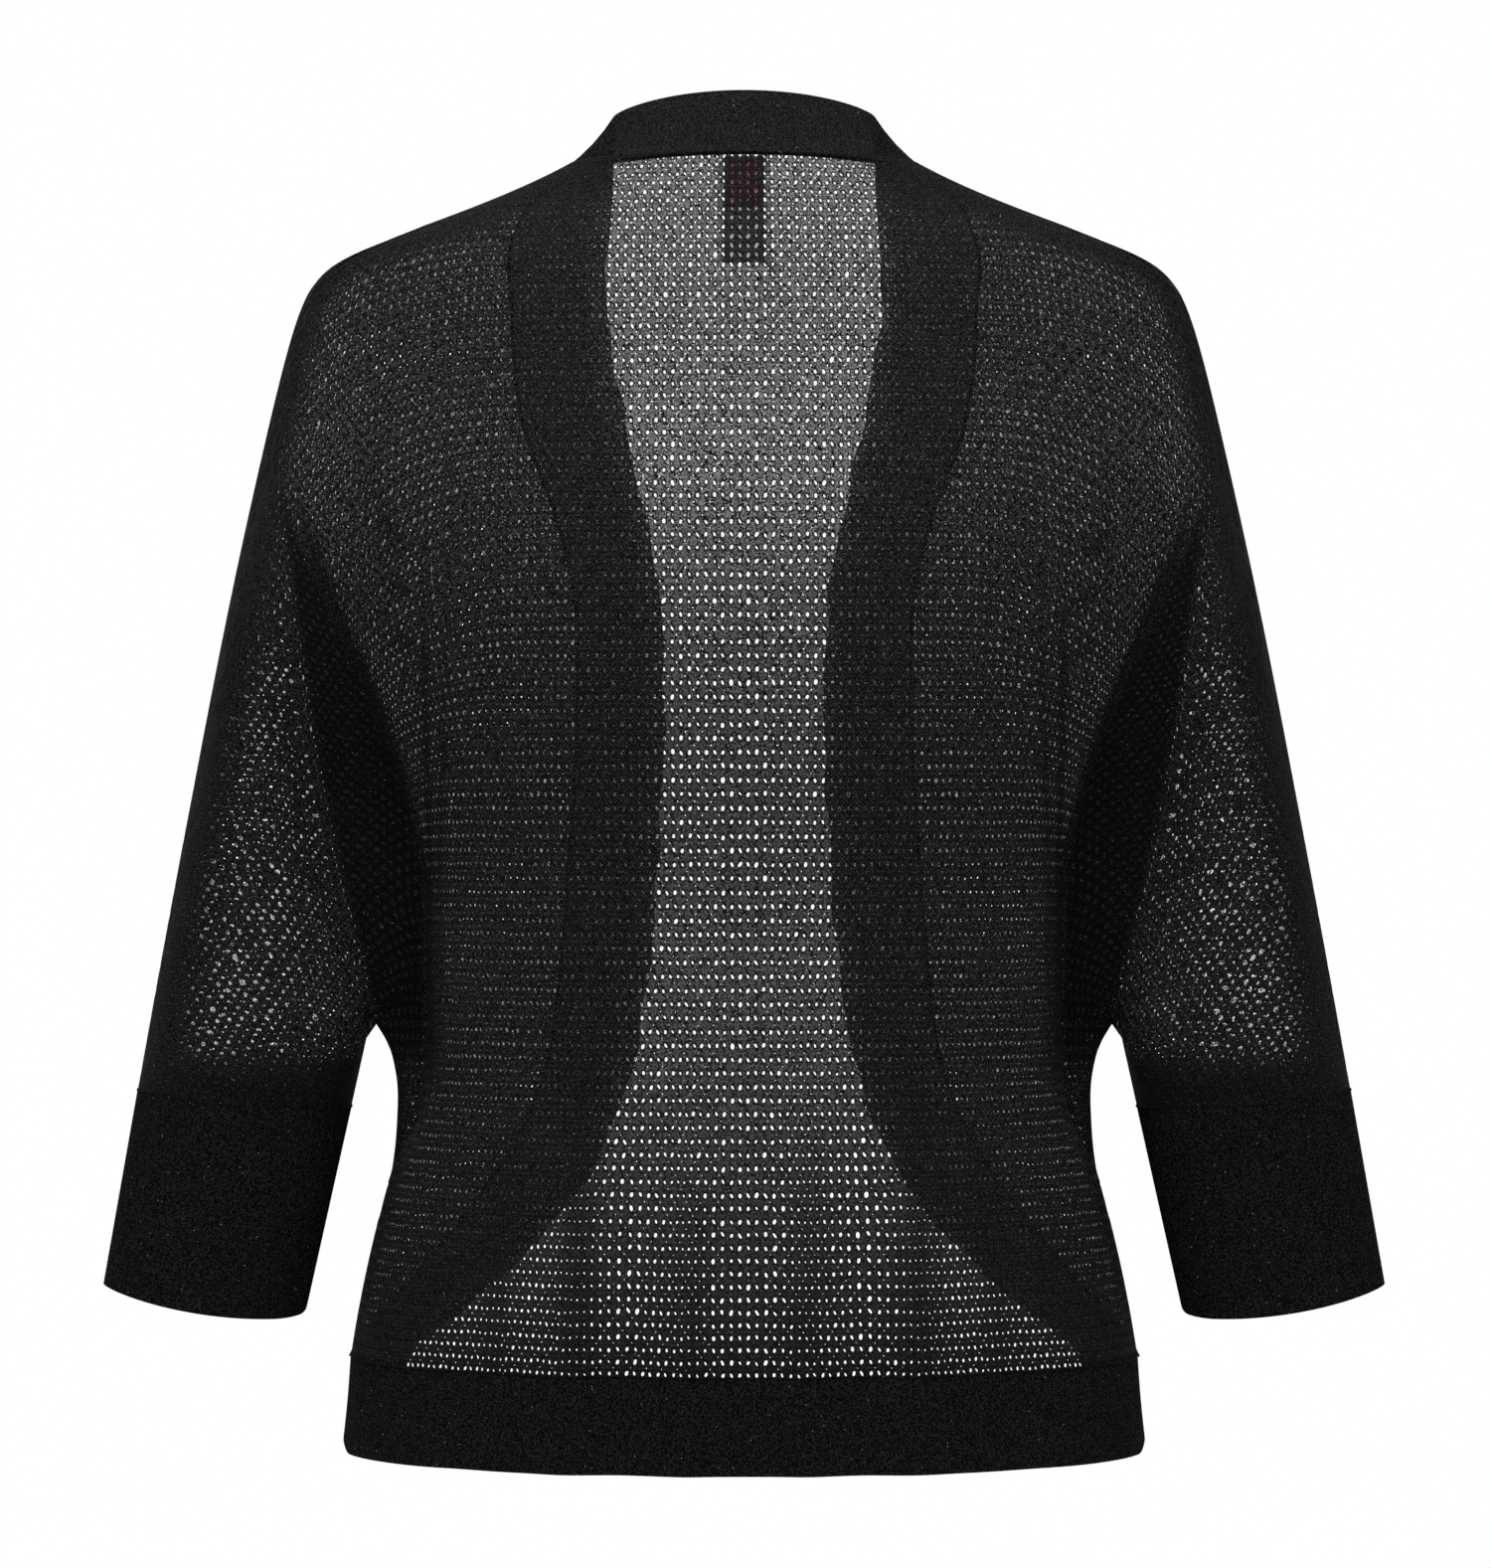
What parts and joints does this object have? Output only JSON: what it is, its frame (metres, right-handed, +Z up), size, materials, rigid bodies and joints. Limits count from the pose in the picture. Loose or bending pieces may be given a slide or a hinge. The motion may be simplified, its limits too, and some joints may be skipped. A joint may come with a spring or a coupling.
{
  "type": "knit cardigan",
  "caption": "Open-front black knit cardigan in worn form: eyelet mesh back and fronts in one with dolman sleeves, rib band, hem and deep cuffs.",
  "frame": {"origin": "on the middle plane, level with the neck seam, between the shoulders that hold the garment up", "axes": "+X across the shoulders, +Y out of the back, -Y out of the open front, +Z up"},
  "size_m": [0.5666, 0.2246, 0.596],
  "materials": {
    "eyelet_mesh": "open-work eyelet knit in black yarn with a sparse glint",
    "rib": "fine black rib knit, matt with a sparse glint",
    "label_tape": "bare woven tape, dark red over black"
  },
  "bodies": {
    "root": {"back": "eyelet_mesh", "front_left": "eyelet_mesh", "front_right": "eyelet_mesh", "front_band": "rib", "hem_band": "rib", "cuff_left": "rib", "cuff_right": "rib", "label": "label_tape"}
  },
  "joints": []
}
